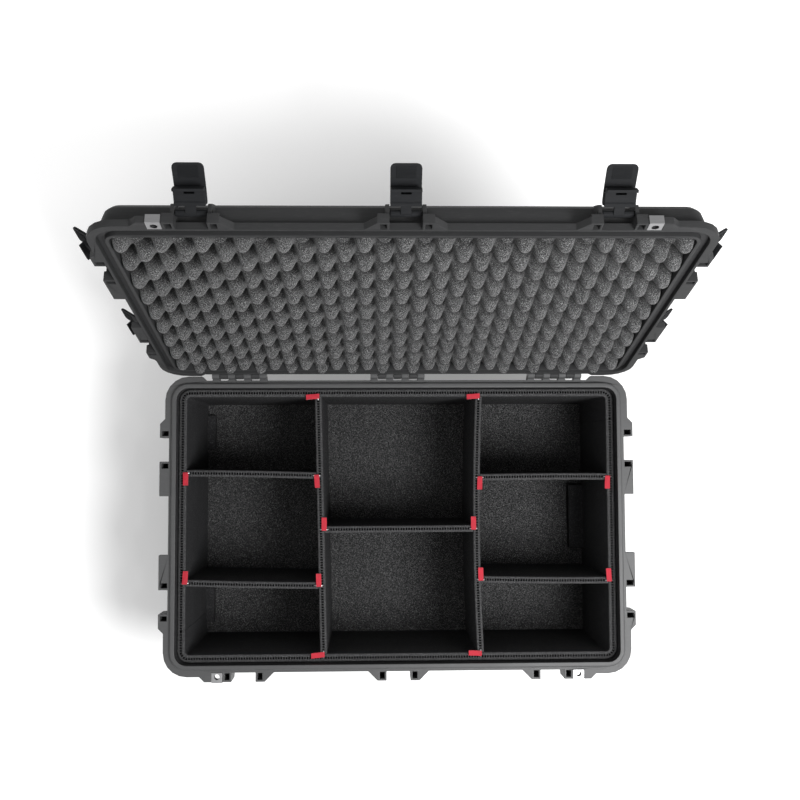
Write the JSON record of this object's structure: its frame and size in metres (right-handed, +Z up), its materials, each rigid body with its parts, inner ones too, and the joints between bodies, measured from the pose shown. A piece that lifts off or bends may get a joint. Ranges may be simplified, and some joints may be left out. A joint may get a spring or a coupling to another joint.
{
  "type": "wheeled protective hard case",
  "caption": "Large wheeled protective hard case, open, with thrown toggle latches, egg-crate lid foam and a pinned divider liner in the base.",
  "frame": {"origin": "middle of the footprint, on the underside of the central keel that the case rests on", "axes": "+Z up, +X along the case towards the pull handle end, +Y from the front latches towards the hinges"},
  "size_m": [0.8736, 0.7201, 0.7722],
  "materials": {
    "shell_base": "fine textured moulded polypropylene, dark grey",
    "shell_lid": "fine textured moulded polypropylene, dark grey",
    "latch": "smooth satin glass-filled nylon",
    "handle": "soft-touch overmoulded grip",
    "seal": "matt o-ring rubber",
    "wheel": "matt polyurethane",
    "egg_crate_foam": "open-cell polyurethane foam, charcoal",
    "liner": "closed-cell foam laminated to a corrugated core, black",
    "pull_tag": "woven red ribbon on a steel wire pin",
    "plate": "bright stainless sheet",
    "steel": "stainless rod and tube"
  },
  "bodies": {
    "case_base": {"base_shell": "shell_base", "floor_pad": "liner", "liner_panel_front": "liner", "liner_panel_rear": "liner", "long_divider_left": "liner", "long_divider_right": "liner", "cross_divider_left_rear": "liner", "cross_divider_left_front": "liner", "cross_divider_middle": "liner", "cross_divider_right_rear": "liner", "cross_divider_right_front": "liner", "divider_pin_1": "pull_tag", "divider_pin_2": "pull_tag", "divider_pin_3": "pull_tag", "divider_pin_4": "pull_tag", "divider_pin_5": "pull_tag", "divider_pin_6": "pull_tag", "divider_pin_7": "pull_tag", "divider_pin_8": "pull_tag", "divider_pin_9": "pull_tag", "divider_pin_10": "pull_tag", "divider_pin_11": "pull_tag", "divider_pin_12": "pull_tag", "divider_pin_13": "pull_tag", "divider_pin_14": "pull_tag", "hinge_pin_left": "steel", "hinge_pin_middle": "steel", "hinge_pin_right": "steel", "pressure_valve": "latch", "base_padlock_plate_left": "plate", "base_padlock_plate_right": "plate", "handle_channel": "handle", "wheel_axle_front": "steel", "wheel_axle_rear": "steel"},
    "lid": {"lid_shell": "shell_lid", "lid_gasket": "seal", "lid_foam": "egg_crate_foam", "lid_padlock_plate_left": "plate", "lid_padlock_plate_right": "plate"},
    "front_handle": {"front_handle": "handle"},
    "end_handle": {"end_handle": "handle"},
    "pull_handle": {"pull_grip": "handle", "pull_tube_front": "steel", "pull_tube_rear": "steel"},
    "wheel_front": {"wheel_front": "wheel"},
    "wheel_rear": {"wheel_rear": "wheel"},
    "latch_link_front_left": {"latch_link_front_left": "latch"},
    "latch_lever_front_left": {"latch_lever_front_left": "latch"},
    "latch_link_front_middle": {"latch_link_front_middle": "latch"},
    "latch_lever_front_middle": {"latch_lever_front_middle": "latch"},
    "latch_link_front_right": {"latch_link_front_right": "latch"},
    "latch_lever_front_right": {"latch_lever_front_right": "latch"},
    "latch_link_right_front": {"latch_link_right_front": "latch"},
    "latch_lever_right_front": {"latch_lever_right_front": "latch"},
    "latch_link_right_rear": {"latch_link_right_rear": "latch"},
    "latch_lever_right_rear": {"latch_lever_right_rear": "latch"},
    "latch_link_left_front": {"latch_link_left_front": "latch"},
    "latch_lever_left_front": {"latch_lever_left_front": "latch"},
    "latch_link_left_rear": {"latch_link_left_rear": "latch"},
    "latch_lever_left_rear": {"latch_lever_left_rear": "latch"}
  },
  "joints": [
    {"name": "lid_hinge", "type": "hinge", "parent": "case_base", "child": "lid", "pos_m": [0, 0.252, 0.262], "axis": [1, 0, 0], "range_deg": [0, 106]},
    {"name": "latch_link_front_left_swing", "type": "hinge", "parent": "lid", "child": "latch_link_front_left", "pos_m": [-0.258, 0.40685, 0.74035], "axis": [1, 0, 0], "range_deg": [0, 132]},
    {"name": "latch_lever_front_left_pull", "type": "hinge", "parent": "latch_link_front_left", "child": "latch_lever_front_left", "pos_m": [-0.258, 0.42084, 0.74438], "axis": [-1, 0, 0], "range_deg": [0, 35]},
    {"name": "latch_link_front_middle_swing", "type": "hinge", "parent": "lid", "child": "latch_link_front_middle", "pos_m": [0, 0.40685, 0.74035], "axis": [1, 0, 0], "range_deg": [0, 132]},
    {"name": "latch_lever_front_middle_pull", "type": "hinge", "parent": "latch_link_front_middle", "child": "latch_lever_front_middle", "pos_m": [0, 0.42084, 0.74438], "axis": [-1, 0, 0], "range_deg": [0, 35]},
    {"name": "latch_link_front_right_swing", "type": "hinge", "parent": "lid", "child": "latch_link_front_right", "pos_m": [0.258, 0.40685, 0.74035], "axis": [1, 0, 0], "range_deg": [0, 132]},
    {"name": "latch_lever_front_right_pull", "type": "hinge", "parent": "latch_link_front_right", "child": "latch_lever_front_right", "pos_m": [0.258, 0.42084, 0.74438], "axis": [-1, 0, 0], "range_deg": [0, 35]},
    {"name": "latch_link_right_front_swing", "type": "hinge", "parent": "lid", "child": "latch_link_right_front", "pos_m": [0.392, 0.37281, 0.62163], "axis": [0, -0.2756, -0.9613], "range_deg": [0, 132]},
    {"name": "latch_lever_right_front_pull", "type": "hinge", "parent": "latch_link_right_front", "child": "latch_lever_right_front", "pos_m": [0.39973, 0.38467, 0.61823], "axis": [0, 0.2756, 0.9613], "range_deg": [0, 35]},
    {"name": "latch_link_right_rear_swing", "type": "hinge", "parent": "lid", "child": "latch_link_right_rear", "pos_m": [0.392, 0.3028, 0.37747], "axis": [0, -0.2756, -0.9613], "range_deg": [0, 132]},
    {"name": "latch_lever_right_rear_pull", "type": "hinge", "parent": "latch_link_right_rear", "child": "latch_lever_right_rear", "pos_m": [0.39973, 0.31466, 0.37407], "axis": [0, 0.2756, 0.9613], "range_deg": [0, 35]},
    {"name": "latch_link_left_front_swing", "type": "hinge", "parent": "lid", "child": "latch_link_left_front", "pos_m": [-0.392, 0.37281, 0.62163], "axis": [0, 0.2756, 0.9613], "range_deg": [0, 132]},
    {"name": "latch_lever_left_front_pull", "type": "hinge", "parent": "latch_link_left_front", "child": "latch_lever_left_front", "pos_m": [-0.39973, 0.38467, 0.61823], "axis": [0, -0.2756, -0.9613], "range_deg": [0, 35]},
    {"name": "latch_link_left_rear_swing", "type": "hinge", "parent": "lid", "child": "latch_link_left_rear", "pos_m": [-0.392, 0.3028, 0.37747], "axis": [0, 0.2756, 0.9613], "range_deg": [0, 132]},
    {"name": "latch_lever_left_rear_pull", "type": "hinge", "parent": "latch_link_left_rear", "child": "latch_lever_left_rear", "pos_m": [-0.39973, 0.31466, 0.37407], "axis": [0, -0.2756, -0.9613], "range_deg": [0, 35]},
    {"name": "front_handle_fold", "type": "hinge", "parent": "case_base", "child": "front_handle", "pos_m": [0, -0.2455, 0.166], "axis": [-1, 0, 0], "range_deg": [0, 95]},
    {"name": "end_handle_fold", "type": "hinge", "parent": "case_base", "child": "end_handle", "pos_m": [0.387, 0, 0.166], "axis": [0, -1, 0], "range_deg": [0, 95]},
    {"name": "pull_handle_slide", "type": "slide", "parent": "case_base", "child": "pull_handle", "axis": [1, 0, 0], "range_m": [0, 0.25]},
    {"name": "wheel_front_spin", "type": "hinge", "parent": "case_base", "child": "wheel_front", "pos_m": [-0.372, -0.162, 0.025], "axis": [0, 1, 0], "continuous": true},
    {"name": "wheel_rear_spin", "type": "hinge", "parent": "case_base", "child": "wheel_rear", "pos_m": [-0.372, 0.162, 0.025], "axis": [0, 1, 0], "continuous": true}
  ]
}
